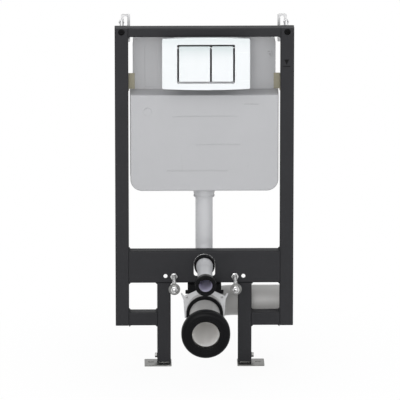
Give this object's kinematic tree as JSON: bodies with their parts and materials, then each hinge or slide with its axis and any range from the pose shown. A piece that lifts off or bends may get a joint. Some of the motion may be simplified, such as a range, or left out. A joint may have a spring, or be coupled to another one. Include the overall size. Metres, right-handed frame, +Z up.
{
  "type": "wall hung toilet frame",
  "caption": "Steel frame on telescopic feet with a cistern, push buttons, a flush pipe, a waste bend and studs that carry a wall hung pan.",
  "frame": {"origin": "on the sole of the left foot, at finished floor level, under the frame's front face", "axes": "+X to the right seen from the pan side, +Y towards the wall, +Z up"},
  "size_m": [0.525, 0.437, 1.031],
  "materials": {
    "frame_paint": "satin anthracite powder coat",
    "zinc": "bright zinc plating",
    "yellow_zinc": "yellow passivated zinc",
    "tank_plastic": "light grey moulded polyethylene",
    "white_plastic": "pale grey moulded plastic",
    "plate_plastic": "satin white plastic",
    "pin_steel": "plain steel",
    "waste_plastic": "grey polyethylene pipe",
    "bracket_plastic": "grey moulded plastic",
    "black_plastic": "black moulded plastic",
    "black_rubber": "black moulded rubber"
  },
  "bodies": {
    "feet": {"foot_left": "zinc", "foot_right": "zinc"},
    "frame": {"upright_left": "frame_paint", "upright_right": "frame_paint", "top_rail": "frame_paint", "crossbar": "frame_paint", "lower_rail_left": "frame_paint", "lower_rail_right": "frame_paint", "leg_left": "frame_paint", "leg_right": "frame_paint", "clamp_bolt_left": "zinc", "clamp_bolt_right": "zinc", "wall_plate_left": "zinc", "wall_plate_right": "zinc", "wall_rod_left": "zinc", "wall_rod_right": "zinc", "cistern_tank": "tank_plastic", "tank_clip_left": "yellow_zinc", "tank_clip_right": "yellow_zinc", "service_box": "white_plastic", "flush_plate": "plate_plastic", "hinge_pin": "pin_steel", "outlet_nut": "white_plastic", "flush_pipe": "white_plastic", "pipe_clip": "black_plastic", "flush_connector": "white_plastic", "flush_seal": "black_rubber", "waste_bend": "waste_plastic", "bend_seal": "black_plastic", "waste_connector": "waste_plastic", "waste_seal": "black_rubber", "bend_hanger": "black_plastic", "bend_bracket": "bracket_plastic", "stud_left": "zinc", "stud_right": "zinc", "stud_nut_left": "zinc", "stud_nut_right": "zinc", "pan_washer_left": "zinc", "pan_washer_right": "zinc", "pan_nut_left": "zinc", "pan_nut_right": "zinc"},
    "button_large": {"button_large": "plate_plastic"},
    "button_small": {"button_small": "plate_plastic"}
  },
  "joints": [
    {"name": "frame_height", "type": "slide", "parent": "feet", "child": "frame", "axis": [0, 0, 1], "range_m": [0, 0.2]},
    {"name": "button_large_press", "type": "hinge", "parent": "frame", "child": "button_large", "pos_m": [0.1415, -0.0429, 0.9702], "axis": [1, 0, 0], "range_deg": [0, 3], "stiffness_Nm_per_rad": 8, "springref_deg": -1.72},
    {"name": "button_small_press", "type": "hinge", "parent": "frame", "child": "button_small", "pos_m": [0.1415, -0.0429, 0.9702], "axis": [1, 0, 0], "range_deg": [0, 3], "stiffness_Nm_per_rad": 8, "springref_deg": -1.72}
  ]
}
